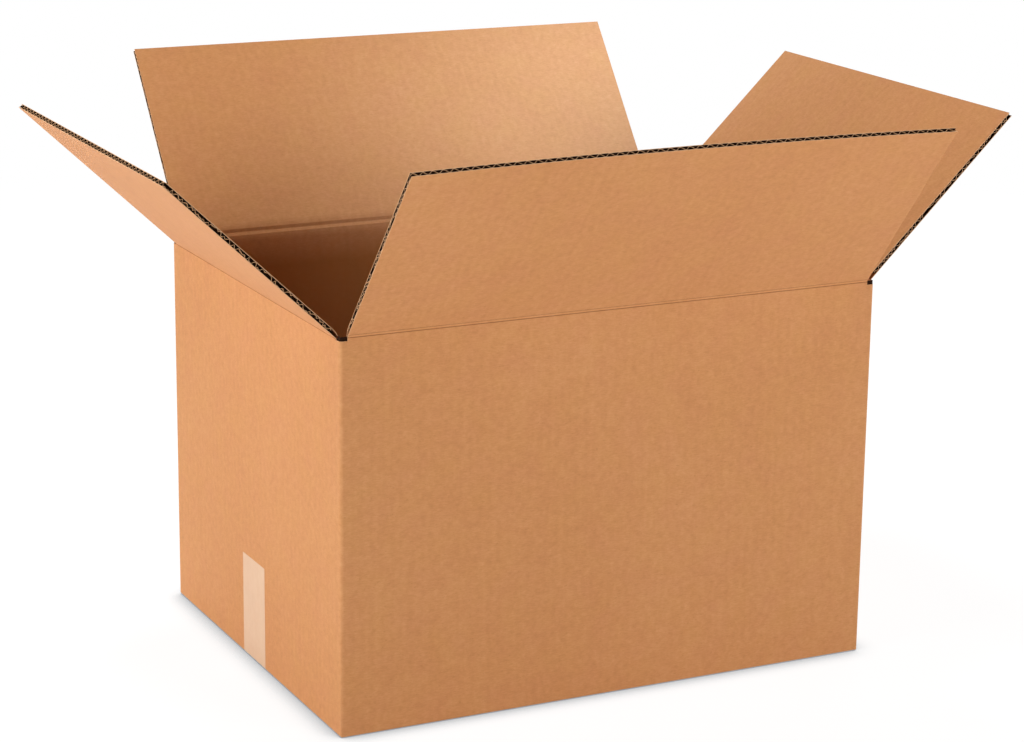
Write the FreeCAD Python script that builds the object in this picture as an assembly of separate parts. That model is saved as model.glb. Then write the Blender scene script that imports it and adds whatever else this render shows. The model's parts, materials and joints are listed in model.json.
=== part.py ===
import FreeCAD, Part
import os

# Regular slotted carton in single-wall corrugated board, standing open.
# Millimetres. +X runs along the long side, the front wall faces -Y and +Z is up.
# The origin is the centre of the carton's footprint, on the surface that it stands on.

# Inside of the closed carton
inside_length = 457.2
inside_width = 355.6
inside_height = 304.8

# Board
board = 4.0
liner = 0.45
medium = 0.3
flute_pitch = 8.2
crest_width = 1.4
crushed_strip = 9.0

# Folds and cuts of the blank
corner_radius = 3.0
base_edge_radius = 2.5
slot_width = 13.5
seam_gap = 1.5
layer_gap = 0.3
lid_gap = 0.2
crease_gap = 0.15

# Joint of the blank: a tab glued inside the back wall
tab_width = 35.0
tab_trim = 8.0
tab_end_clearance = 5.0
joint_step = 0.6

# Sealing tape along the bottom seam and up both end walls
tape_width = 48.0
tape_rise = 87.0
tape_thickness = 0.08

# How far each top flap leans outwards from upright
front_lean_degrees = 39.1
back_lean_degrees = 38.3
left_lean_degrees = 46.7
right_lean_degrees = 45.9

# Sizes that follow from the ones above
outside_length = inside_length + 2 * board
outside_width = inside_width + 2 * board
half_length = outside_length / 2
half_width = outside_width / 2
slot_inset = slot_width / 2
flap_length = half_width - seam_gap / 2
major_width = outside_length - slot_width
minor_width = outside_width - slot_width
lower_layer_top = board
upper_layer_bottom = board + layer_gap
floor_top = upper_layer_bottom + board
minor_score = floor_top + inside_height
major_score = minor_score + board + lid_gap
slot_bottom = minor_score - crease_gap
spare = 1.0


def vector(x, y, z):
    return FreeCAD.Vector(x, y, z)


def block(x_low, x_high, y_low, y_high, z_low, z_high):
    """A rectangular block between two opposite corners."""
    corner = vector(x_low, y_low, z_low)
    return Part.makeBox(x_high - x_low, y_high - y_low, z_high - z_low, corner)


def quarter_arc(start, centre, end):
    """The short arc from start to end, a quarter turn about centre."""
    outward = (start - centre) + (end - centre)
    outward.normalize()
    middle = centre + outward * (start - centre).Length
    return Part.Arc(start, middle, end).toShape()


def closed_face(points):
    """A flat face with straight sides through the points."""
    return Part.Face(Part.makePolygon(points + [points[0]]))


def face_from_edges(edges):
    return Part.Face(Part.Wire(edges))


def plan_of_walls():
    """Outline of the standing walls from above, with three rolled corners and the glued one.

    At the glued corner the end wall rolls inwards behind the raw edge of the back wall.
    """
    x, y, r = half_length, half_width, corner_radius
    fold_y = y - board
    edge_x = x - joint_step
    return face_from_edges([
        Part.LineSegment(vector(-x + r, -y, 0), vector(x - r, -y, 0)).toShape(),
        quarter_arc(vector(x - r, -y, 0), vector(x - r, -y + r, 0), vector(x, -y + r, 0)),
        Part.LineSegment(vector(x, -y + r, 0), vector(x, fold_y - r, 0)).toShape(),
        quarter_arc(vector(x, fold_y - r, 0), vector(x - r, fold_y - r, 0), vector(x - r, fold_y, 0)),
        Part.LineSegment(vector(x - r, fold_y, 0), vector(edge_x, fold_y, 0)).toShape(),
        Part.LineSegment(vector(edge_x, fold_y, 0), vector(edge_x, y, 0)).toShape(),
        Part.LineSegment(vector(edge_x, y, 0), vector(-x + r, y, 0)).toShape(),
        quarter_arc(vector(-x + r, y, 0), vector(-x + r, y - r, 0), vector(-x, y - r, 0)),
        Part.LineSegment(vector(-x, y - r, 0), vector(-x, -y + r, 0)).toShape(),
        quarter_arc(vector(-x, -y + r, 0), vector(-x + r, -y + r, 0), vector(-x + r, -y, 0)),
    ])


def rolled_base_profile(half_span, top, inset):
    """Edges of a U seen from the side: up one wall, along the base and up the other.

    The U lies inset inside the outer faces, and its two bottom corners are rolled.
    """
    r = base_edge_radius
    reach = half_span - inset
    turn = half_span - r
    left_centre = vector(-turn, 0, r)
    right_centre = vector(turn, 0, r)
    return [
        Part.LineSegment(vector(-reach, 0, top), vector(-reach, 0, r)).toShape(),
        quarter_arc(vector(-reach, 0, r), left_centre, vector(-turn, 0, inset)),
        Part.LineSegment(vector(-turn, 0, inset), vector(turn, 0, inset)).toShape(),
        quarter_arc(vector(turn, 0, inset), right_centre, vector(reach, 0, r)),
        Part.LineSegment(vector(reach, 0, r), vector(reach, 0, top)).toShape(),
    ]


def rolled_base_block(half_span, half_depth):
    """A block with two rolled bottom edges, which run along Y."""
    lid = Part.LineSegment(vector(half_span, 0, major_score), vector(-half_span, 0, major_score)).toShape()
    profile = face_from_edges(rolled_base_profile(half_span, major_score, 0) + [lid])
    profile.translate(vector(0, -half_depth, 0))
    return profile.extrude(vector(0, 2 * half_depth, 0))


def outer_form():
    """The carton filled solid: walls from above, with every bottom edge rolled."""
    walls = plan_of_walls().extrude(vector(0, 0, major_score))
    long_way = rolled_base_block(half_length, half_width + spare)
    short_way = rolled_base_block(half_width, half_length + spare)
    short_way.rotate(vector(0, 0, 0), vector(0, 0, 1), 90)
    return walls.common(long_way).common(short_way)


def inner_space():
    """What is empty inside: the hold, the well between the inner flaps and the gap under them."""
    x = inside_length / 2
    y = inside_width / 2
    top = major_score + spare
    well = half_length - flap_length
    flap_side = half_width - slot_inset
    hold = block(-x, x, -y, y, floor_top, top)
    return hold.multiFuse([
        block(-well, well, -y, y, lower_layer_top, top),
        block(-x, x, -y, y, lower_layer_top, upper_layer_bottom),
        block(-x, x, -y, -flap_side, lower_layer_top, top),
        block(-x, x, flap_side, y, lower_layer_top, top),
    ])


def base_cuts():
    """The seam between the outer bottom flaps, and the slots beyond their ends."""
    x = half_length - slot_inset
    wall_x = inside_length / 2
    wall_y = inside_width / 2
    seam = block(-x, x, -seam_gap / 2, seam_gap / 2, -spare, upper_layer_bottom)
    left = block(-wall_x, -x, -wall_y, wall_y, -spare, upper_layer_bottom)
    right = block(x, wall_x, -wall_y, wall_y, -spare, upper_layer_bottom)
    return [seam, left, right]


def mitre_cut(score, half_span, width):
    """What is cut off the top of one wall so that its flap can fold inwards.

    Made for the front wall: the cut starts at the score line on the outer face
    and falls at 45 degrees towards the inside.
    """
    low = score - crease_gap
    depth = board + spare
    points = [
        vector(-width / 2, -half_span - spare, low),
        vector(-width / 2, -half_span, low),
        vector(-width / 2, -half_span + depth, low - depth),
        vector(-width / 2, -half_span + depth, major_score + spare),
        vector(-width / 2, -half_span - spare, major_score + spare),
    ]
    return closed_face(points).extrude(vector(width, 0, 0))


def turned(shape, angle):
    """A copy turned about the carton's upright centre line."""
    copy = shape.copy()
    copy.rotate(vector(0, 0, 0), vector(0, 0, 1), angle)
    return copy


def top_cuts():
    """The slots at the four top corners, and the mitred tops of the walls between them."""
    cuts = []
    x = half_length - slot_inset
    y = half_width - slot_inset
    top = major_score + spare
    for x_low, x_high in ((-half_length - spare, -x), (x, half_length + spare)):
        for y_low, y_high in ((-half_width - spare, -y), (y, half_width + spare)):
            cuts.append(block(x_low, x_high, y_low, y_high, slot_bottom, top))
    major_cut = mitre_cut(major_score, half_width, major_width)
    minor_cut = mitre_cut(minor_score, half_length, minor_width)
    cuts += [major_cut, turned(major_cut, 180), turned(minor_cut, 90), turned(minor_cut, 270)]
    return cuts


def glue_tab():
    """The tab of the end wall, which turns the corner and is glued inside the back wall."""
    fold_x = inside_length / 2
    free_x = fold_x - tab_width
    y = inside_width / 2
    low = floor_top + tab_end_clearance
    high = minor_score - board - tab_end_clearance
    points = [
        vector(fold_x, y - board, low),
        vector(fold_x, y - board, high),
        vector(free_x, y - board, high - tab_trim),
        vector(free_x, y - board, low + tab_trim),
    ]
    return closed_face(points).extrude(vector(0, board, 0))


def make_tape():
    """A film that follows the base and both rolled edges, flush with the board's outer face."""
    outer = rolled_base_profile(half_length, tape_rise, 0)
    inner = rolled_base_profile(half_length, tape_rise, tape_thickness)
    reach = half_length - tape_thickness
    left_end = Part.LineSegment(vector(-reach, 0, tape_rise), vector(-half_length, 0, tape_rise)).toShape()
    right_end = Part.LineSegment(vector(half_length, 0, tape_rise), vector(reach, 0, tape_rise)).toShape()
    section = face_from_edges(outer + [right_end] + inner[::-1] + [left_end])
    section.translate(vector(0, -tape_width / 2, 0))
    return section.extrude(vector(0, tape_width, 0))


def make_carton(tape):
    """Walls, closed bottom flaps and glue tab: one folded and glued sheet."""
    shell = outer_form().cut(inner_space())
    shell = shell.cut(base_cuts()).cut(top_cuts())
    return shell.fuse(glue_tab()).cut(tape).removeSplitter()


def flute_void(centre, foot, opens_inwards):
    """One channel of the flutes: the space between a liner and an arch of the medium.

    The legs of the arch lean at about 45 degrees, so measured along the crease
    they are half as thick again as the medium.
    """
    leg = 1.5 * medium
    crown = crest_width / 2 - leg
    near, far = liner, board - liner - medium
    if opens_inwards:
        near, far = board - liner, liner + medium
    start = board + crushed_strip
    points = [
        vector(centre - foot, near, start),
        vector(centre - crown, far, start),
        vector(centre + crown, far, start),
        vector(centre + foot, near, start),
    ]
    return closed_face(points).extrude(vector(0, 0, flap_length - start + spare))


def flute_voids(width):
    """Channels on alternate sides of the medium, half a flute apart, across a flap.

    The first and the last are cut open by the sides of the flap, as a slotting knife leaves them.
    """
    flutes = round(width / flute_pitch)
    pitch = width / flutes
    foot = (pitch - crest_width) / 2
    voids = []
    for step in range(2 * flutes + 1):
        centre = -width / 2 + step * pitch / 2
        voids.append(flute_void(centre, foot, step % 2 == 1))
    return voids


def make_flap(width, half_span, score, lean, turn):
    """A top flap, leaning outwards on its score line.

    It is drawn upright on the front wall, with its score along X, then leaned and
    turned round to its own wall. Its root is mitred like the top of the wall.
    """
    points = [
        vector(-width / 2, 0, crease_gap),
        vector(-width / 2, board, board + crease_gap),
        vector(-width / 2, board, flap_length),
        vector(-width / 2, 0, flap_length),
    ]
    flap = closed_face(points).extrude(vector(width, 0, 0))
    flap = flap.cut(flute_voids(width))
    flap.rotate(vector(0, 0, 0), vector(1, 0, 0), lean)
    flap.translate(vector(0, -half_span, score))
    flap.rotate(vector(0, 0, 0), vector(0, 0, 1), turn)
    return flap


def build_parts():
    """Every node of the carton by name."""
    tape = make_tape()
    return {
        "carton_body": make_carton(tape),
        "front_flap": make_flap(major_width, half_width, major_score, front_lean_degrees, 0),
        "right_flap": make_flap(minor_width, half_length, minor_score, right_lean_degrees, 90),
        "back_flap": make_flap(major_width, half_width, major_score, back_lean_degrees, 180),
        "left_flap": make_flap(minor_width, half_length, minor_score, left_lean_degrees, 270),
        "bottom_tape": tape,
    }


os.makedirs("parts", exist_ok=True)
for name, shape in build_parts().items():
    shape.exportStep(f"parts/{name}.step")
    box = shape.BoundBox
    print(f"{name}: {len(shape.Solids)} solid, valid {shape.isValid()}, {shape.Volume / 1000:.1f} cm3,"
          f" x {box.XMin:.1f} to {box.XMax:.1f}, y {box.YMin:.1f} to {box.YMax:.1f},"
          f" z {box.ZMin:.1f} to {box.ZMax:.1f}")
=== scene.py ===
import json
import math

import bmesh
import bpy
from mathutils import Matrix, Vector


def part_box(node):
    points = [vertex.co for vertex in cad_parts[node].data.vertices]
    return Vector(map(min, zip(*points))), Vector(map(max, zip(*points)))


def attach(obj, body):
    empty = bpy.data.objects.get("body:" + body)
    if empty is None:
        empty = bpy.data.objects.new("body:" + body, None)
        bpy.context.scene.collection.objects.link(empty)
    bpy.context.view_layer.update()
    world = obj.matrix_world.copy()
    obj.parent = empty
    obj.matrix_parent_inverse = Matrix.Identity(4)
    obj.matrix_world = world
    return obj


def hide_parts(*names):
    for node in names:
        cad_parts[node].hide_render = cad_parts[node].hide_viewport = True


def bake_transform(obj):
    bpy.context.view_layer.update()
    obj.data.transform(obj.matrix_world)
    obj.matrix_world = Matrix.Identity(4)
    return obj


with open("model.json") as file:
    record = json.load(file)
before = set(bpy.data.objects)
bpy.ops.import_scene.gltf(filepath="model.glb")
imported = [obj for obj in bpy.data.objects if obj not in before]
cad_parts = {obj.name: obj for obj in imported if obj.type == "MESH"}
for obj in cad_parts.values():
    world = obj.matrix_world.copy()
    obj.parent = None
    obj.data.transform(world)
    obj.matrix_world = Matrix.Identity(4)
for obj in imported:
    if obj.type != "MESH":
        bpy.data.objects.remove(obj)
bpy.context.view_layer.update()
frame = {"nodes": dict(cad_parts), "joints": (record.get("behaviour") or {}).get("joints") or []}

# The board and the tape, in metres
mm = 0.001
board = 4.0 * mm
liner = 0.45 * mm
medium = 0.25 * mm
flute_pitch = 8.2 * mm
# How far the arches of the fluted paper's middle swing to each side
flute_swing = (board - 2 * liner - medium) / 2
# How far the knife crushed the flutes in from a flap's side
crushed_rim = 1.5 * flute_pitch
tape_proud = 0.1 * mm
tape_film = 0.12 * mm

# The carton as the frame gives it, and the turn of each side from the front
body_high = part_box("carton_body")[1]
half_length = body_high.x
half_width = body_high.y
hinges = {joint["child"]: joint for joint in frame["joints"]}
turns = {"front": 0, "right": 90, "back": 180, "left": 270}

# The creases: the folded part of each flap starts crease_reach below its score line. The drawn lines lie
# score_shift nearer to one another than the hinges of the long and the short flaps.
crease_reach = 7.0 * mm
score_depth = 0.3 * mm
score_half_width = 0.4 * mm
score_shift = 0.8 * mm

# The bottom: the seam between flaps that meet, and the underside and top of the upper layer
flap_seam = 1.5 * mm
upper_layer = 4.3 * mm
floor_top = 8.3 * mm

# The rays that see floor and surroundings as white, and the shade on the floor where the carton stands
seen_rays = ("Is Camera Ray", "Is Glossy Ray", "Is Transmission Ray")
contact_reach = 26 * mm
contact_grey = (0.3, 0.32, 0.34, 1.0)


class Socket:
    """An output of a shader node that can be used in sums."""

    def __init__(self, finish, socket):
        self.finish = finish
        self.socket = socket

    def _sum(self, operation, left, right):
        return self.finish.node("Math", {"operation": operation}, {0: left, 1: right})

    def __add__(self, other):
        return self._sum("ADD", self, other)

    def __sub__(self, other):
        return self._sum("SUBTRACT", self, other)

    def __rsub__(self, other):
        return self._sum("SUBTRACT", other, self)

    def __mul__(self, other):
        return self._sum("MULTIPLY", self, other)

    def __pow__(self, other):
        return self._sum("POWER", self, other)

    __radd__ = __add__
    __rmul__ = __mul__


class Finish:
    """A material under construction: nodes are added to it, and a Principled shader shows them."""

    def __init__(self, name):
        self.material = bpy.data.materials.new(name)
        self.material.use_nodes = True
        self.tree = self.material.node_tree
        self.tree.nodes.clear()
        self.surface = self.tree.nodes.new("ShaderNodeBsdfPrincipled")
        output = self.tree.nodes.new("ShaderNodeOutputMaterial")
        self.tree.links.new(self.surface.outputs["BSDF"], output.inputs["Surface"])

    def put(self, target, value):
        """Links a socket into an input, or sets a number or colour there."""
        if isinstance(value, Socket):
            self.tree.links.new(value.socket, target)
        else:
            target.default_value = value

    def node(self, kind, settings=None, inputs=None, output=0):
        """Adds a node, sets it up, fills its inputs and gives back one of its outputs."""
        made = self.tree.nodes.new("ShaderNode" + kind)
        for name, value in (settings or {}).items():
            setattr(made, name, value)
        for key, value in (inputs or {}).items():
            self.put(made.inputs[key], value)
        return Socket(self, made.outputs[output])

    def set(self, **inputs):
        """Fills inputs of the Principled shader; an underscore stands for a blank in a name."""
        for name, value in inputs.items():
            self.put(self.surface.inputs[name.replace("_", " ")], value)

    def show_to_the_camera(self, colour, glow, reach):
        """What the camera and reflections see instead of the plain surface.

        That is the colour with a white glow over it, plain white beyond reach, and a grey shade close to
        whatever stands there.
        """
        near = self.tree.nodes.new("ShaderNodeBsdfPrincipled")
        settings = {"Base Color": colour, "Roughness": 0.9, "Specular IOR Level": 0.0,
                    "Emission Color": (1.0, 1.0, 1.0, 1.0), "Emission Strength": glow}
        for name, value in settings.items():
            near.inputs[name].default_value = value
        white = self.tree.nodes.new("ShaderNodeEmission")
        place = self.node("TexCoord", output="Object")
        distance = self.node("VectorMath", {"operation": "LENGTH"}, {0: place}, "Value")
        far = self.node("MapRange", None, {"Value": distance, 1: reach / 2, 2: reach, 3: 0.0, 4: 1.0})
        rays = [self.node("LightPath", output=ray) for ray in seen_rays]
        seen = self.node("Clamp", None, {"Value": rays[0] + rays[1] + rays[2]})
        open_share = self.node("AmbientOcclusion", {"samples": 8}, {"Distance": contact_reach}, "AO")
        contact = self.node("Clamp", None, {"Value": ((1 - open_share) * 2) ** 2 * 0.6})
        shade = self.tree.nodes.new("ShaderNodeEmission")
        shade.inputs["Color"].default_value = contact_grey
        floor = self.blend(far, near.outputs["BSDF"], white.outputs["Emission"])
        floor = self.blend(contact, floor, shade.outputs["Emission"])
        result = self.blend(seen, self.surface.outputs["BSDF"], floor)
        output = next(node for node in self.tree.nodes if node.bl_idname == "ShaderNodeOutputMaterial")
        self.tree.links.new(result, output.inputs["Surface"])

    def blend(self, factor, first, second):
        """One shader or another, or a blend of both."""
        made = self.tree.nodes.new("ShaderNodeMixShader")
        self.put(made.inputs["Fac"], factor)
        self.tree.links.new(first, made.inputs[1])
        self.tree.links.new(second, made.inputs[2])
        return made.outputs["Shader"]

    def mix(self, factor, first, second):
        """A colour between two others."""
        return self.node("Mix", {"data_type": "RGBA"}, {0: factor, 6: first, 7: second}, 2)

    def noise(self, stretch, detail=2.0, roughness=0.5, seed=0.0):
        """Cloudy values about 0, with so many spots to the metre along X, Y and Z."""
        place = self.node("TexCoord", output="Object")
        moved = {"Vector": place, "Scale": stretch, "Location": (seed, seed, seed)}
        mapped = self.node("Mapping", None, moved)
        values = {"Vector": mapped, "Scale": 1.0, "Detail": detail, "Roughness": roughness}
        return self.node("TexNoise", None, values, "Fac") - 0.5


def paint(red, green, blue):
    """A colour written as on a screen, 0 to 255, for a shader."""
    def linear(value):
        share = value / 255
        return share / 12.92 if share <= 0.04045 else ((share + 0.055) / 1.055) ** 2.4
    return (linear(red), linear(green), linear(blue), 1.0)


kraft_dark = paint(186, 123, 72)
kraft_reddish = paint(210, 144, 97)
kraft_yellowish = paint(212, 152, 93)
kraft_pale = paint(228, 170, 121)
# Painted shade: the deeper brown of the carton's inside
kraft_in_painted_shade = paint(166, 102, 36)
# Painted shade in the grooves of the score lines
painted_score_shade = paint(128, 78, 42)


def along_and_across(flutes_across, along, across):
    """Scale for a pattern on walls whose flutes follow one another along X or along Y."""
    if flutes_across == "X":
        return (across, along, along)
    return (along, across, along)


def fade(finish, value, start, end):
    """1 up to start, 0 from end on, and in between from the one to the other."""
    return finish.node("MapRange", None, {"Value": value, 1: start, 2: end, 3: 1.0, 4: 0.0})


def depths_under_walls(finish):
    """How deep a point lies under the end walls and under the long walls."""
    place = finish.node("TexCoord", output="Object")
    depths = []
    for axis, half in (("X", half_length), ("Y", half_width)):
        along = finish.node("SeparateXYZ", None, {"Vector": place}, axis)
        depths.append(half - finish.node("Math", {"operation": "ABSOLUTE"}, {0: along}))
    return depths


def painted_highlight_on_corners(finish):
    """1 at the upright edges of the carton, where the liner is creased, for a paler band that is a painted
    highlight, and 0 elsewhere.
    """
    depths = depths_under_walls(finish)
    gaps = [finish.node("Math", {"operation": "ABSOLUTE"}, {0: depth}) for depth in depths]
    return fade(finish, gaps[0] + gaps[1], 1.0 * mm, 3.2 * mm)


def painted_shade_deep_inside(finish):
    """1 on faces inside the carton, fading out towards the rim, for a deeper brown that is painted shade,
    and 0 outside and on the flaps.
    """
    depths = depths_under_walls(finish)
    least = finish.node("Math", {"operation": "MINIMUM"}, {0: depths[0], 1: depths[1]})
    within = finish.node("MapRange", None, {"Value": least, 1: 3.5 * mm, 2: 3.8 * mm, 3: 0.0, 4: 1.0})
    place = finish.node("TexCoord", output="Object")
    height = finish.node("SeparateXYZ", None, {"Vector": place}, "Z")
    return within * fade(finish, height, 285 * mm, 312 * mm)


def kraft_liner(name, flutes_across):
    """Brown liner paper over flutes: fibres, clouds, two hues, faint washboard lines and flecks, with
    painted shade inside the carton and along the scores, and a painted highlight on the upright edges.
    """
    finish = Finish(name)
    clouds = finish.noise((7.0, 7.0, 7.0), 3.0, 0.55)
    mottle = finish.noise((190.0, 190.0, 190.0), 4.0, 0.6, 3.0)
    fibres = finish.noise(along_and_across(flutes_across, 1500.0, 260.0), 3.0, 0.6, 7.0)
    streaks = finish.noise(along_and_across(flutes_across, 5.0, 210.0), 2.0, 0.6, 11.0)
    flecks = finish.noise(along_and_across(flutes_across, 900.0, 330.0), 1.0, 0.5, 19.0)
    place = finish.node("TexCoord", output="Object")
    across = finish.node("SeparateXYZ", None, {"Vector": place}, flutes_across)
    turn = across * (2 * math.pi / flute_pitch)
    ripple = finish.node("Math", {"operation": "SINE"}, {0: turn})
    tone = 0.5 + clouds * 0.25 + mottle * 0.5 + fibres * 0.55 + streaks * 0.11 + ripple * 0.01
    hues = finish.noise((38.0, 38.0, 38.0), 2.0, 0.5, 23.0)
    hue = finish.node("Clamp", None, {"Value": 0.5 + hues * 0.9})
    middle = finish.mix(hue, kraft_reddish, kraft_yellowish)
    below = finish.mix(finish.node("Clamp", None, {"Value": tone * 2}), kraft_dark, middle)
    colour = finish.mix(finish.node("Clamp", None, {"Value": tone * 2 - 1}), below, kraft_pale)
    dark_fleck = finish.node("MapRange", None, {"Value": flecks, 1: 0.2, 2: 0.27, 3: 0.0, 4: 0.4})
    colour = finish.mix(dark_fleck, colour, kraft_dark)
    # Painted shade inside the carton, fading out towards the rim
    colour = finish.mix(painted_shade_deep_inside(finish) * 0.8, colour, kraft_in_painted_shade)
    painted_shade_on_scores = finish.node("Attribute", {"attribute_name": "painted_shade_on_scores"}, None, "Fac")
    # Painted shade along the score lines
    colour = finish.mix(painted_shade_on_scores * 0.9, colour, painted_score_shade)
    # Painted highlight: a paler band along the upright edges
    colour = finish.mix(painted_highlight_on_corners(finish) * (0.3 + mottle), colour, kraft_pale)
    height = ripple * 0.25 + fibres * 0.55 + mottle * 0.35 + streaks * 0.15
    bump = finish.node("Bump", None, {"Strength": 0.5, "Distance": 0.12 * mm, "Height": height})
    finish.set(Base_Color=colour, Roughness=0.72 + fibres * 0.12, Normal=bump, Sheen_Weight=0.12)
    finish.set(Sheen_Roughness=0.4, Specular_IOR_Level=0.22)
    return finish.material


def raw_edge(name, colour, shade):
    """Paper seen at its cut edge."""
    finish = Finish(name)
    grain = finish.noise((1400.0, 1400.0, 1400.0), 3.0, 0.6)
    clouds = finish.noise((150.0, 150.0, 150.0), 2.0, 0.5, 5.0)
    tone = finish.node("Clamp", None, {"Value": 0.5 + grain * 0.9 + clouds * 0.6})
    bump = finish.node("Bump", None, {"Strength": 0.6, "Distance": 0.1 * mm, "Height": grain})
    finish.set(Base_Color=finish.mix(tone, shade, colour), Roughness=0.85 + grain * 0.1, Normal=bump)
    finish.set(Specular_IOR_Level=0.2)
    return finish.material


def flute_paper_with_painted_shade(name):
    """The rough fluted paper between the liners, near black as painted shade deep in the flutes, and paler
    where the knife opened it.
    """
    finish = Finish(name)
    grain = finish.noise((900.0, 900.0, 900.0), 3.0, 0.6)
    opened = finish.node("Attribute", {"attribute_name": "opened"}, None, "Fac")
    share = finish.node("Clamp", None, {"Value": opened * (0.85 + grain)})
    bump = finish.node("Bump", None, {"Strength": 0.5, "Distance": 0.1 * mm, "Height": grain})
    # Near black is painted shade; the pale brown is the cut paper's own colour
    finish.set(Base_Color=finish.mix(share, paint(42, 22, 9), paint(214, 163, 118)), Normal=bump)
    finish.set(Roughness=0.9, Specular_IOR_Level=0.1)
    return finish.material


def tape_finish(name):
    """Clear film over kraft: the board shows through it paler, with patches where it holds less well."""
    finish = Finish(name)
    patches = finish.noise((45.0, 45.0, 28.0), 3.0, 0.55)
    lines = finish.noise((700.0, 700.0, 12.0), 2.0, 0.5, 4.0)
    mottle = finish.noise((190.0, 190.0, 190.0), 4.0, 0.6, 3.0)
    cover = finish.node("Clamp", None, {"Value": 0.55 + patches * 0.7 + lines * 0.2 + mottle * 0.4})
    height = patches + lines * 0.5
    bump = finish.node("Bump", None, {"Strength": 0.25, "Distance": 0.1 * mm, "Height": height})
    finish.set(Base_Color=finish.mix(cover, paint(214, 162, 117), paint(230, 192, 153)), Normal=bump)
    finish.set(Roughness=0.32 + patches * 0.1, Coat_Weight=0.15, Coat_Roughness=0.15)
    return finish.material


kraft_x = kraft_liner("kraft_liner_flutes_across_x", "X")
kraft_y = kraft_liner("kraft_liner_flutes_across_y", "Y")
cut_edge = raw_edge("cut_board_edge", paint(238, 196, 156), paint(212, 160, 116))
flute_paper_in_painted_shade = flute_paper_with_painted_shade("fluted_medium_painted_shade")
clear_tape = tape_finish("clear_packing_tape")


def finished_piece(name, bm, materials):
    """Makes an object of a bmesh, at the origin, with its materials."""
    mesh = bpy.data.meshes.new(name)
    bm.to_mesh(mesh)
    bm.free()
    for material in materials:
        mesh.materials.append(material)
    piece = bpy.data.objects.new(name, mesh)
    bpy.context.scene.collection.objects.link(piece)
    return piece


# Places of the liner, the cut edge and the fluted paper in a flap's list of materials
liner_place, cut_place, flutes_place = 0, 1, 2


class Fold:
    """Where a top flap leaves its wall, drawn on the front wall and turned round later."""

    def __init__(self, side):
        flap_low, flap_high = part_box(side + "_flap")
        hinge = hinges[side + "_flap"]
        self.long = side in ("front", "back")
        self.half_span = half_width if self.long else half_length
        self.width = (flap_high.x - flap_low.x) if self.long else (flap_high.y - flap_low.y)
        self.lean = math.radians(-hinge["range_deg"][0] - 90)
        self.pivot = Vector((0, -self.half_span, hinge["pos_m"][2]))
        self.score = self.pivot.z + (-score_shift if self.long else score_shift)
        self.turn = Matrix.Rotation(math.radians(turns[side]), 4, "Z")
        self.length = half_width - flap_seam / 2
        # Half the distance between the two fine lines of the score
        self.spread = 1.15 * mm if self.long else 0.45 * mm

    def wall(self, depth, rise):
        """A point of the wall, so deep inside its outer face and so far above the score."""
        return Vector((0, -self.half_span + depth, self.score + rise))

    def flap(self, depth, rise):
        """A point of the flap, so deep inside its outer face and so far beyond the score."""
        inwards = depth * math.cos(self.lean) - rise * math.sin(self.lean)
        upwards = depth * math.sin(self.lean) + rise * math.cos(self.lean)
        return Vector((0, -self.half_span + inwards, self.score + upwards))

    def middle(self, depth):
        """A point on the fold itself, half way between wall and flap."""
        half = self.lean / 2
        return Vector((0, -self.half_span + depth * math.cos(half), self.score + depth * math.sin(half)))


def outline_of_outer_liner(fold):
    """Section of the outer liner of wall and flap: flat, with the fine lines of the score at the fold."""
    low, high = fold.spread - score_half_width, fold.spread + score_half_width
    # Depth of the ridge between the two lines, and where the back of the liner begins to bend
    ridge = 0.05 * mm
    bend = 2.4 * mm
    face = [
        fold.wall(0, -crease_reach),
        fold.wall(0, -high),
        fold.wall(score_depth, -fold.spread),
        fold.wall(ridge, -low),
        fold.flap(ridge, low),
        fold.flap(score_depth, fold.spread),
        fold.flap(0, high),
    ]
    back = [fold.wall(liner, -crease_reach), fold.wall(liner, -bend),
            fold.middle(score_depth + liner), fold.flap(liner, bend)]
    heights = flap_heights(fold)
    face += [fold.flap(0, height) for height in heights]
    back += [fold.flap(liner, height) for height in heights]
    return face + back[::-1]


def outline_of_inner_liner(fold):
    """Section of the inner liner: it dips into the crushed flutes at the fold."""
    # Depths of the dip in the wall, going up, and in the flap, going on, with their distances from the fold
    dip = [(4.0 * mm, 7.0 * mm), (3.75 * mm, 4.4 * mm), (3.25 * mm, 1.9 * mm)]
    deepest = 1.9 * mm
    face = [fold.wall(depth, -away) for depth, away in dip]
    back = [fold.wall(depth - liner, -away) for depth, away in dip]
    face.append(fold.middle(deepest))
    back.append(fold.middle(deepest - liner))
    face += [fold.flap(depth, away) for depth, away in dip[::-1]]
    back += [fold.flap(depth - liner, away) for depth, away in dip[::-1]]
    heights = flap_heights(fold)
    face += [fold.flap(board, height) for height in heights]
    back += [fold.flap(board - liner, height) for height in heights]
    return face + back[::-1]


def flap_heights(fold):
    """Where the flap is divided along its length, so that it can be bowed."""
    steps = 8
    first = 12 * mm
    return [first + (fold.length - first) * step / steps for step in range(steps + 1)]


def add_strip(bm, outline, width, cuts):
    """A strip of liner: a long prism with that section, along X, divided into short lengths."""
    start = [bm.verts.new(point - Vector((width / 2, 0, 0))) for point in outline]
    section = bm.faces.new(start)
    made = bmesh.ops.extrude_face_region(bm, geom=[section])
    moved = [item for item in made["geom"] if isinstance(item, bmesh.types.BMVert)]
    bmesh.ops.translate(bm, verts=moved, vec=(width, 0, 0))
    faces = dict.fromkeys(face for vert in start + moved for face in vert.link_faces)
    for face in faces:
        face.material_index = liner_place
    edges = dict.fromkeys(edge for face in faces for edge in face.edges)
    long_edges = [edge for edge in edges if abs(edge.verts[0].co.x - edge.verts[1].co.x) > width / 2]
    bmesh.ops.subdivide_edges(bm, edges=long_edges, cuts=cuts - 1, use_grid_fill=True)


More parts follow.
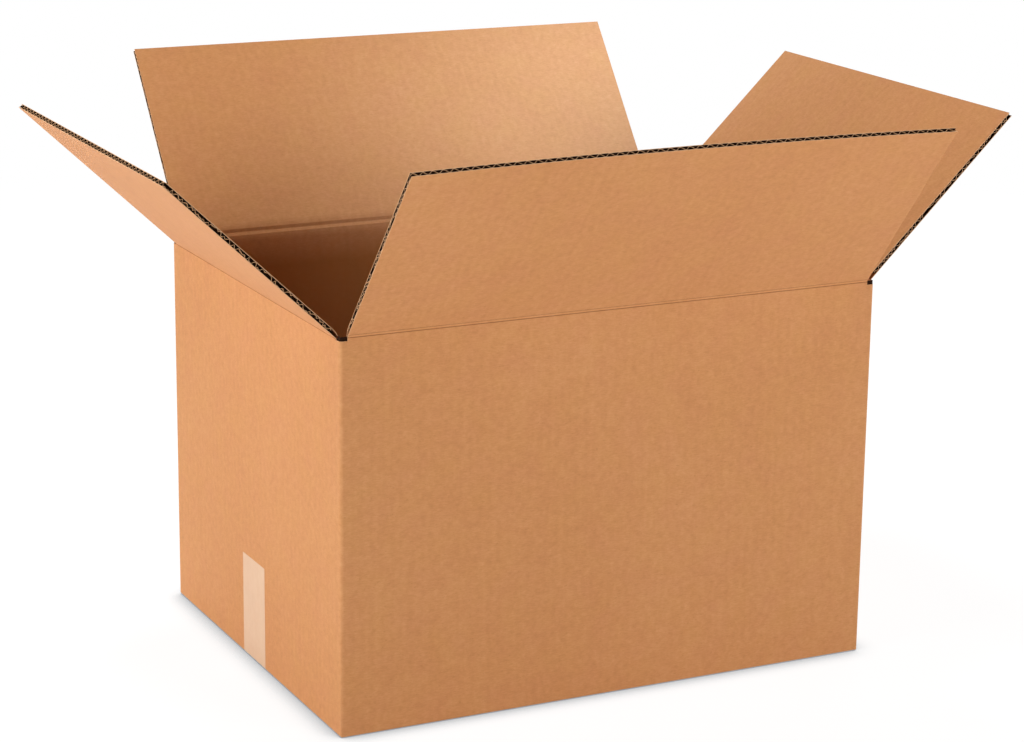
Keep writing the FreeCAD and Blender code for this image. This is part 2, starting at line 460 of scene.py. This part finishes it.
def add_medium(bm, fold, skew, phase, rows):
    """The fluted paper between the liners: a regular middle, and both sides crushed by the knife."""
    inner = fold.width / 2 - crushed_rim
    crushed_rows = 136
    sheets = [
        medium_sheet(fold, (-inner, inner), skew, phase, rows, 0),
        medium_sheet(fold, (-fold.width / 2, -inner), skew, phase, crushed_rows, -1),
        medium_sheet(fold, (inner, fold.width / 2), skew, phase, crushed_rows, 1),
    ]
    lean = Matrix.Translation(fold.wall(0, 0)) @ Matrix.Rotation(fold.lean, 4, "X")
    for sheet in sheets:
        bmesh.ops.recalc_face_normals(sheet, faces=sheet.faces)
        bmesh.ops.solidify(sheet, geom=sheet.faces[:], thickness=medium)
        for vert in sheet.verts:
            vert.co.x = max(-fold.width / 2, min(fold.width / 2, vert.co.x))
            vert.co.z = min(fold.length, vert.co.z)
        bmesh.ops.transform(sheet, matrix=lean, verts=sheet.verts)
        for face in sheet.faces:
            face.material_index = flutes_place
        add_to(bm, sheet)
    opened = bm.verts.layers.float.new("opened")
    along = fold.flap(0, 1) - fold.flap(0, 0)
    for vert in bm.verts:
        at_end = (vert.co - fold.flap(0, 0)).dot(along) > fold.length - 0.1 * mm
        at_side = abs(vert.co.x) > fold.width / 2 - 0.1 * mm
        vert[opened] = 1.0 if at_end or at_side else 0.0


def medium_sheet(fold, reach, skew, phase, rows, side):
    """A stretch of the fluted paper, upright. At a cut side the flutes wander where they were crushed.

    It runs across the flap from reach[0] to reach[1], skew turns its flutes a little, phase moves them
    along, and side is -1 or 1 for the rims and 0 for the middle.
    """
    sheet = bmesh.new()
    pitch = fold.width / round(fold.width / flute_pitch)
    bottom = 7.5 * mm
    last_row = 1.0 * mm
    rise = (fold.length - bottom - last_row) / rows
    start, end = reach
    count = max(12, round((end - start) / pitch * 10))
    verts = [sheet.verts.new((start + (end - start) * step / count, 0, bottom)) for step in range(count + 1)]
    edges = [sheet.edges.new(pair) for pair in zip(verts, verts[1:])]
    for row in range(rows + 1):
        made = bmesh.ops.extrude_edge_only(sheet, edges=edges)
        moved = [item for item in made["geom"] if isinstance(item, bmesh.types.BMVert)]
        edges = [item for item in made["geom"] if isinstance(item, bmesh.types.BMEdge)
                 and item.verts[0] in moved and item.verts[1] in moved]
        bmesh.ops.translate(sheet, verts=moved, vec=(0, 0, rise if row < rows else last_row))
    for vert in sheet.verts:
        x, height = vert.co.x, vert.co.z
        nearness = max(0.0, 1 - (fold.width / 2 - side * x) / crushed_rim) if side else 0.0
        turn = phase + skew * height / pitch + nearness ** 0.5 * crushed_phase(height, phase)
        vert.co.y = board / 2 + flute_swing * math.cos(2 * math.pi * (x / pitch + turn))
    return sheet


def crushed_phase(height, seed):
    """How far the flutes have wandered at a cut side, in flutes, at that height."""
    # Lengths of four waves along the side in mm, and how far each moves the flutes
    waves = ((11.3, 0.30), (6.1, 0.16), (19.7, 0.34), (3.7, 0.07))
    total = 0
    for length, share in waves:
        total += share * math.sin(2 * math.pi * (height / (length * mm) + seed * 3.1 + length))
    return total


def add_to(bm, other):
    """Moves everything in the other bmesh into this one."""
    mesh = bpy.data.meshes.new("passing")
    other.to_mesh(mesh)
    other.free()
    bm.from_mesh(mesh)
    bpy.data.meshes.remove(mesh)


def mark_edges_and_scores(bm, fold):
    """Pale paper where the knife cut, near-black paper between the liners as painted shade, and painted
    shade along the scores.
    """
    along = fold.flap(0, 1) - fold.flap(0, 0)
    depthwards = fold.flap(1, 0) - fold.flap(0, 0)
    for face in bm.faces:
        middle, normal = face.calc_center_median(), face.normal
        depth = (middle - fold.flap(0, 0)).dot(depthwards)
        rise = (middle - fold.flap(0, 0)).dot(along)
        if abs(abs(middle.x) - fold.width / 2) < 0.15 * mm and abs(normal.x) > 0.5:
            face.material_index = cut_place
        elif rise > fold.length - 0.2 * mm and normal.dot(along) > 0.5:
            face.material_index = cut_place
        elif rise > crease_reach + 0.2 * mm and liner / 2 < depth < board - liner / 2:
            face.material_index = flutes_place
    # Painted shade along the score lines: full on the long flaps, weaker on the short ones
    painted_shade_on_scores = bm.verts.layers.float.new("painted_shade_on_scores")
    lines = (fold.wall(score_depth, -fold.spread), fold.flap(score_depth, fold.spread))
    for vert in bm.verts:
        across = Vector((0, vert.co.y, vert.co.z))
        if min((across - line).length for line in lines) < 0.1 * mm:
            vert[painted_shade_on_scores] = 1.0 if fold.long else 0.55


def bow(bm, fold, amount):
    """Curves the flap so that the middle of its free edge moves inwards by the amount."""
    inwards = fold.flap(1, 0) - fold.flap(0, 0)
    along = fold.flap(0, 1) - fold.flap(0, 0)
    for vert in bm.verts:
        rise = (vert.co - fold.flap(0, 0)).dot(along) / fold.length
        share = max(0.0, rise) ** 2 * (1 - (2 * vert.co.x / fold.width) ** 2)
        vert.co += inwards * (amount * share)


def top_flap(side, skew, phase, bend):
    """One top flap with its fold: two liners with the fluted paper between them."""
    fold = Fold(side)
    bm = bmesh.new()
    cuts = 24 if bend else 1
    add_medium(bm, fold, skew, phase, rows=8)
    add_strip(bm, outline_of_outer_liner(fold), fold.width, cuts)
    add_strip(bm, outline_of_inner_liner(fold), fold.width, cuts)
    bmesh.ops.recalc_face_normals(bm, faces=bm.faces)
    mark_edges_and_scores(bm, fold)
    if bend:
        bow(bm, fold, bend)
    bmesh.ops.transform(bm, matrix=fold.turn, verts=bm.verts)
    kraft = kraft_x if fold.long else kraft_y
    piece = finished_piece(side + "_flap_board", bm, [kraft, cut_edge, flute_paper_in_painted_shade])
    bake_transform(piece)
    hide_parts(side + "_flap")


top_flap("front", skew=0.018, phase=0.0, bend=3.6 * mm)
top_flap("back", skew=0.011, phase=0.3, bend=0)
top_flap("left", skew=-0.016, phase=0.6, bend=0)
top_flap("right", skew=0.013, phase=0.2, bend=0)


def add_prism(bm, outline, run):
    """A closed prism: the outline moved along run."""
    section = bm.faces.new([bm.verts.new(point) for point in outline])
    made = bmesh.ops.extrude_face_region(bm, geom=[section])
    moved = [item for item in made["geom"] if isinstance(item, bmesh.types.BMVert)]
    bmesh.ops.translate(bm, verts=moved, vec=run)


def add_block(bm, low, high):
    """A rectangular block between two corners."""
    made = bmesh.ops.create_cube(bm, size=1.0)
    size = Vector(high) - Vector(low)
    bmesh.ops.scale(bm, verts=made["verts"], vec=size)
    bmesh.ops.translate(bm, verts=made["verts"], vec=(Vector(low) + Vector(high)) / 2)


def add_channels(bm, x_start, x_end, y_reach, z_bottom, flutes):
    """The channels of a fluted board that lies flat, with its flutes along X."""
    pitch = 2 * y_reach / flutes
    steps = 8
    # How much of a flute's width its channel takes, between the legs of the arch
    open_width = 0.82
    for half in range(2 * flutes + 1):
        middle = -y_reach + half * pitch / 2
        up = 1 if half % 2 else -1
        base = z_bottom + board / 2 - up * (board / 2 - liner)
        outline = []
        for step in range(steps + 1):
            share = (step / steps - 0.5) * open_width
            arch = board / 2 + up * (flute_swing * math.cos(2 * math.pi * share) - medium / 2)
            outline.append(Vector((x_start, middle + share * pitch, z_bottom + arch)))
        outline.append(Vector((x_start, outline[-1].y, base)))
        outline.append(Vector((x_start, outline[0].y, base)))
        add_prism(bm, outline, (x_end - x_start, 0, 0))


def add_corner_hollow(bm, x_side, y_side):
    """The empty space between the liners at one corner, under the slot. One corner is the glued one."""
    slot = half_length - Fold("front").width / 2
    corner = 2.2 * mm
    raw_end = 0.9 * mm
    inner = board - liner
    depth = 34 * mm
    bottom = Fold("front").pivot.z - depth
    plan = [(slot, liner), (corner, liner), (liner, corner), (liner, slot), (inner, slot), (inner, inner),
            (slot, inner)]
    if x_side > 0 and y_side > 0:
        plan = [(slot, liner), (raw_end, liner), (raw_end, inner), (slot, inner)]
    points = [Vector((x_side * (half_length - x), y_side * (half_width - y), bottom)) for x, y in plan]
    add_prism(bm, points, (0, 0, depth + 2 * mm))


def fold_rooms():
    """Cutter: the top of each wall between the slots, which the flap's own piece takes over."""
    bm = bmesh.new()
    slack = 0.05 * mm
    height = 20 * mm
    for side in turns:
        fold = Fold(side)
        room = bmesh.new()
        bottom = fold.score - crease_reach
        add_block(room, (-fold.width / 2 - slack, -fold.half_span - mm, bottom),
                  (fold.width / 2 + slack, -fold.half_span + board + mm, bottom + height))
        bmesh.ops.transform(room, matrix=fold.turn, verts=room.verts)
        add_to(bm, room)
    return bm


def corner_hollows():
    """Cutter: the empty space between the liners under the four slots."""
    bm = bmesh.new()
    for x_side in (-1, 1):
        for y_side in (-1, 1):
            add_corner_hollow(bm, x_side, y_side)
    return bm


def bottom_channels():
    """Cutter: the hollows of the flutes behind the free edges of the two inner bottom flaps."""
    bm = bmesh.new()
    well = half_length - Fold("left").length
    reach = Fold("left").width / 2 - 0.02 * mm
    depth = 25 * mm
    for end in (-1, 1):
        add_channels(bm, end * (well - 0.5 * mm), end * (well + depth), reach, upper_layer, flutes=43)
    return bm


def carton_board():
    """Walls and bottom: a copy of the solid, opened where a cut edge shows the flutes."""
    bm = bmesh.new()
    bm.from_mesh(frame["nodes"]["carton_body"].data)
    bmesh.ops.remove_doubles(bm, verts=bm.verts, dist=0.001 * mm)
    bmesh.ops.dissolve_limit(bm, angle_limit=0.002, verts=bm.verts, edges=bm.edges)
    piece = finished_piece("carton_board", bm, [kraft_x, kraft_y, cut_edge])
    cutters = {"rooms": fold_rooms(), "hollows": corner_hollows(), "channels": bottom_channels()}
    for name, cutter in cutters.items():
        bmesh.ops.recalc_face_normals(cutter, faces=cutter.faces)
        # The cut faces take the near-black flute paint: painted shade in the hollows
        tool = finished_piece(name, cutter, [flute_paper_in_painted_shade])
        cut = piece.modifiers.new(name, "BOOLEAN")
        cut.operation = "DIFFERENCE"
        cut.solver = "EXACT"
        cut.material_mode = "TRANSFER"
        cut.object = tool
        apply_modifiers(piece)
        bpy.data.objects.remove(tool)
    paint_board_faces(piece.data)
    return piece


def apply_modifiers(piece):
    """Replaces the piece's mesh by the one that its modifiers give."""
    evaluated = piece.evaluated_get(bpy.context.evaluated_depsgraph_get())
    result = bpy.data.meshes.new_from_object(evaluated)
    piece.modifiers.clear()
    piece.data = result


def paint_board_faces(mesh):
    """Gives each face of the walls and bottom the paper that it shows."""
    well = half_length - Fold("left").length
    major_end = Fold("front").width / 2
    near = 0.1 * mm
    names = [material.name for material in mesh.materials]
    along_x, along_y, cut = (names.index(item.name) for item in (kraft_x, kraft_y, cut_edge))
    inside_flutes = names.index(flute_paper_in_painted_shade.name)
    for face in mesh.polygons:
        if face.material_index == inside_flutes:
            continue
        middle, normal = face.center, face.normal
        if abs(normal.z) > 0.9:
            on_short_flaps = abs(middle.z - floor_top) < near
            at_slot = middle.z > Fold("left").score - 3 * mm
            face.material_index = cut if at_slot else along_y if on_short_flaps else along_x
        elif abs(normal.x) > 0.9:
            raw = (abs(abs(middle.x) - well) < near or abs(abs(middle.x) - major_end) < near
                   or middle.y > half_width - board - near)
            face.material_index = cut if raw and middle.x < half_length - near else along_y
        else:
            raw = abs(middle.y) < 2 * mm
            face.material_index = cut if raw else along_x


def corner_lips_with_painted_shade():
    """Strips that stand up behind the outer liner where the slots were cut, near black on their inward faces
    as painted shade of the hollow there.

    The glued corner has none.
    """
    slot = half_length - Fold("front").width / 2 - 0.3 * mm
    near, far = 1.0 * mm, 1.35 * mm
    height = 9 * mm
    bottom = Fold("left").pivot.z - 6 * mm
    plan = [(slot, near), (near, near), (near, slot), (far, slot), (far, far), (slot, far)]
    bm = bmesh.new()
    for x_side, y_side in ((-1, -1), (1, -1), (-1, 1)):
        points = [Vector((x_side * (half_length - x), y_side * (half_width - y), bottom)) for x, y in plan]
        add_prism(bm, points, (0, 0, height))
    bmesh.ops.recalc_face_normals(bm, faces=bm.faces)
    for face in bm.faces:
        middle = face.calc_center_median()
        outwards = face.normal.x * middle.x + face.normal.y * middle.y > 0 or face.normal.z > 0.5
        face.material_index = 0 if outwards else 1
    # Inward faces take the near-black flute paint as painted shade; outward and top faces show the liner
    piece = finished_piece("corner_lips_with_painted_shade", bm, [flute_paper_in_painted_shade, kraft_x])
    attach(piece, "carton")


corner_lips_with_painted_shade()
body_piece = carton_board()
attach(body_piece, "carton")
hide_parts("carton_body")


def tape_strip():
    """The sealing film: up one end wall, under the bottom seam and up the other, a hair proud of them."""
    low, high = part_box("bottom_tape")
    radius = 2.5 * mm
    steps = 6
    side = [Vector((high.x + tape_proud, 0, height)) for height in (high.z, high.z * 0.5, radius)]
    for step in range(1, steps + 1):
        angle = math.pi / 2 * step / steps
        reach = radius + tape_proud * (1 - step / steps)
        along = high.x - radius + reach * math.cos(angle)
        side.append(Vector((along, 0, radius - radius * math.sin(angle))))
    middle = [Vector((high.x * share, 0, 0)) for share in (0.75, 0.5, 0.25)]
    path = side + middle + [Vector((-point.x, 0, point.z)) for point in (side + middle)[::-1]]
    bm = bmesh.new()
    verts = [bm.verts.new(point + Vector((0, low.y, 0))) for point in path]
    edges = [bm.edges.new(pair) for pair in zip(verts, verts[1:])]
    made = bmesh.ops.extrude_edge_only(bm, edges=edges)
    moved = [item for item in made["geom"] if isinstance(item, bmesh.types.BMVert)]
    bmesh.ops.translate(bm, verts=moved, vec=(0, high.y - low.y, 0))
    bmesh.ops.recalc_face_normals(bm, faces=bm.faces)
    outward = max(bm.faces, key=lambda face: face.calc_center_median().x)
    if outward.normal.x < 0:
        bmesh.ops.reverse_faces(bm, faces=bm.faces)
    bmesh.ops.solidify(bm, geom=bm.faces[:], thickness=tape_film)
    piece = finished_piece("tape_strip", bm, [clear_tape])
    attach(piece, "carton")
    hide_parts("bottom_tape")


tape_strip()


def hang_lamp(name, kind, place, target, power, colour):
    """Adds a lamp that points at the target, and gives back its settings."""
    lamp = bpy.data.lights.new(name, kind)
    lamp.energy = power
    lamp.color = colour
    holder = bpy.data.objects.new(name, lamp)
    holder.location = place
    holder.rotation_euler = (Vector(target) - Vector(place)).to_track_quat("-Z", "Y").to_euler()
    bpy.context.scene.collection.objects.link(holder)
    return lamp


def soft_light(name, place, target, width, height, power):
    """A large rectangular lamp, nearly white."""
    lamp = hang_lamp(name, "AREA", place, target, power, (1.0, 0.995, 0.985))
    lamp.shape = "RECTANGLE"
    lamp.size = width
    lamp.size_y = height


def narrow_light(name, place, target, spread, power, colour):
    """A lamp with a soft-edged cone."""
    lamp = hang_lamp(name, "SPOT", place, target, power, colour)
    lamp.spot_size = spread
    lamp.spot_blend = 1.0
    lamp.shadow_soft_size = 0.12


def white_surroundings():
    """Faint even light from all round, which the camera and reflections see as white."""
    world = bpy.data.worlds.new("studio")
    bpy.context.scene.world = world
    world.use_nodes = True
    tree = world.node_tree
    tree.nodes.clear()
    mix = tree.nodes.new("ShaderNodeMixShader")
    for slot, strength in ((1, 0.05), (2, 1.0)):
        light = tree.nodes.new("ShaderNodeBackground")
        light.inputs["Color"].default_value = (1.0, 1.0, 1.0, 1.0)
        light.inputs["Strength"].default_value = strength
        tree.links.new(light.outputs["Background"], mix.inputs[slot])
    path = tree.nodes.new("ShaderNodeLightPath")
    seen = path.outputs[seen_rays[0]]
    for ray in seen_rays[1:]:
        either = tree.nodes.new("ShaderNodeMath")
        either.use_clamp = True
        tree.links.new(seen, either.inputs[0])
        tree.links.new(path.outputs[ray], either.inputs[1])
        seen = either.outputs["Value"]
    tree.links.new(seen, mix.inputs["Fac"])
    output = tree.nodes.new("ShaderNodeOutputWorld")
    tree.links.new(mix.outputs["Shader"], output.inputs["Surface"])


def white_floor():
    """A floor that looks white around the carton's shade and throws some light back at its walls."""
    bm = bmesh.new()
    bmesh.ops.create_grid(bm, x_segments=1, y_segments=1, size=20.0)
    bmesh.ops.translate(bm, verts=bm.verts, vec=(0, 0, -0.1 * mm))
    floor_finish = Finish("white_floor")
    floor_finish.set(Base_Color=(0.9, 0.9, 0.9, 1.0), Roughness=0.9, Specular_IOR_Level=0.0)
    floor_finish.set(Emission_Color=(1.0, 1.0, 1.0, 1.0), Emission_Strength=0.15)
    floor_finish.show_to_the_camera((0.16, 0.165, 0.17, 1.0), 0.93, 2.0)
    floor = finished_piece("floor", bm, [floor_finish.material])


# Soft light from four sides, and a narrow cool light for the shine on the back flap's right end
white_surroundings()
white_floor()
soft_light("left_softbox", (-2.8, -0.3, 0.55), (0, 0, 0.2), 1.2, 1.2, 51.0)
soft_light("front_softbox", (1.7, -2.8, 0.92), (0, 0, 0.3), 1.6, 0.8, 50.0)
soft_light("top_softbox", (-0.3, 0.5, 2.8), (0, 0, 0.2), 1.0, 0.6, 37.0)
soft_light("rear_softbox", (2.3, 2.5, 0.6), (0, 0, 0.2), 1.4, 0.8, 50.0)
narrow_light("back_flap_light", (1.51, -0.725, 1.86), (0.2, 0.255, 0.4), 0.2, 262.0, (0.44, 0.68, 1.0))


def photo_camera():
    """Stands where the photograph was taken from, about 2.4 m away and a little above the rim."""
    unit = 465.2 * mm
    azimuth, elevation, roll = -0.4571, 0.2645, 0.0122
    distance = 5.1633 * unit
    look_at = Vector((-0.0032, 0, 0.4745)) * unit
    focal_pixels, picture_width, sensor = 2886.7, 1024, 36.0
    back = Vector((math.sin(azimuth) * math.cos(elevation), -math.cos(azimuth) * math.cos(elevation),
                   math.sin(elevation)))
    right = (-back).cross(Vector((0, 0, 1))).normalized()
    up = right.cross(-back)
    tilted_right = right * math.cos(roll) + up * math.sin(roll)
    tilted_up = up * math.cos(roll) - right * math.sin(roll)
    camera = bpy.data.cameras.new("photo_camera")
    camera.sensor_width = sensor
    camera.lens = sensor * focal_pixels / picture_width
    holder = bpy.data.objects.new("photo_camera", camera)
    turned = Matrix((tilted_right, tilted_up, back)).transposed().to_4x4()
    holder.matrix_world = Matrix.Translation(look_at + back * distance) @ turned
    bpy.context.scene.collection.objects.link(holder)
    bpy.context.scene.camera = holder


photo_camera()
bpy.context.scene.view_settings.view_transform = "Standard"
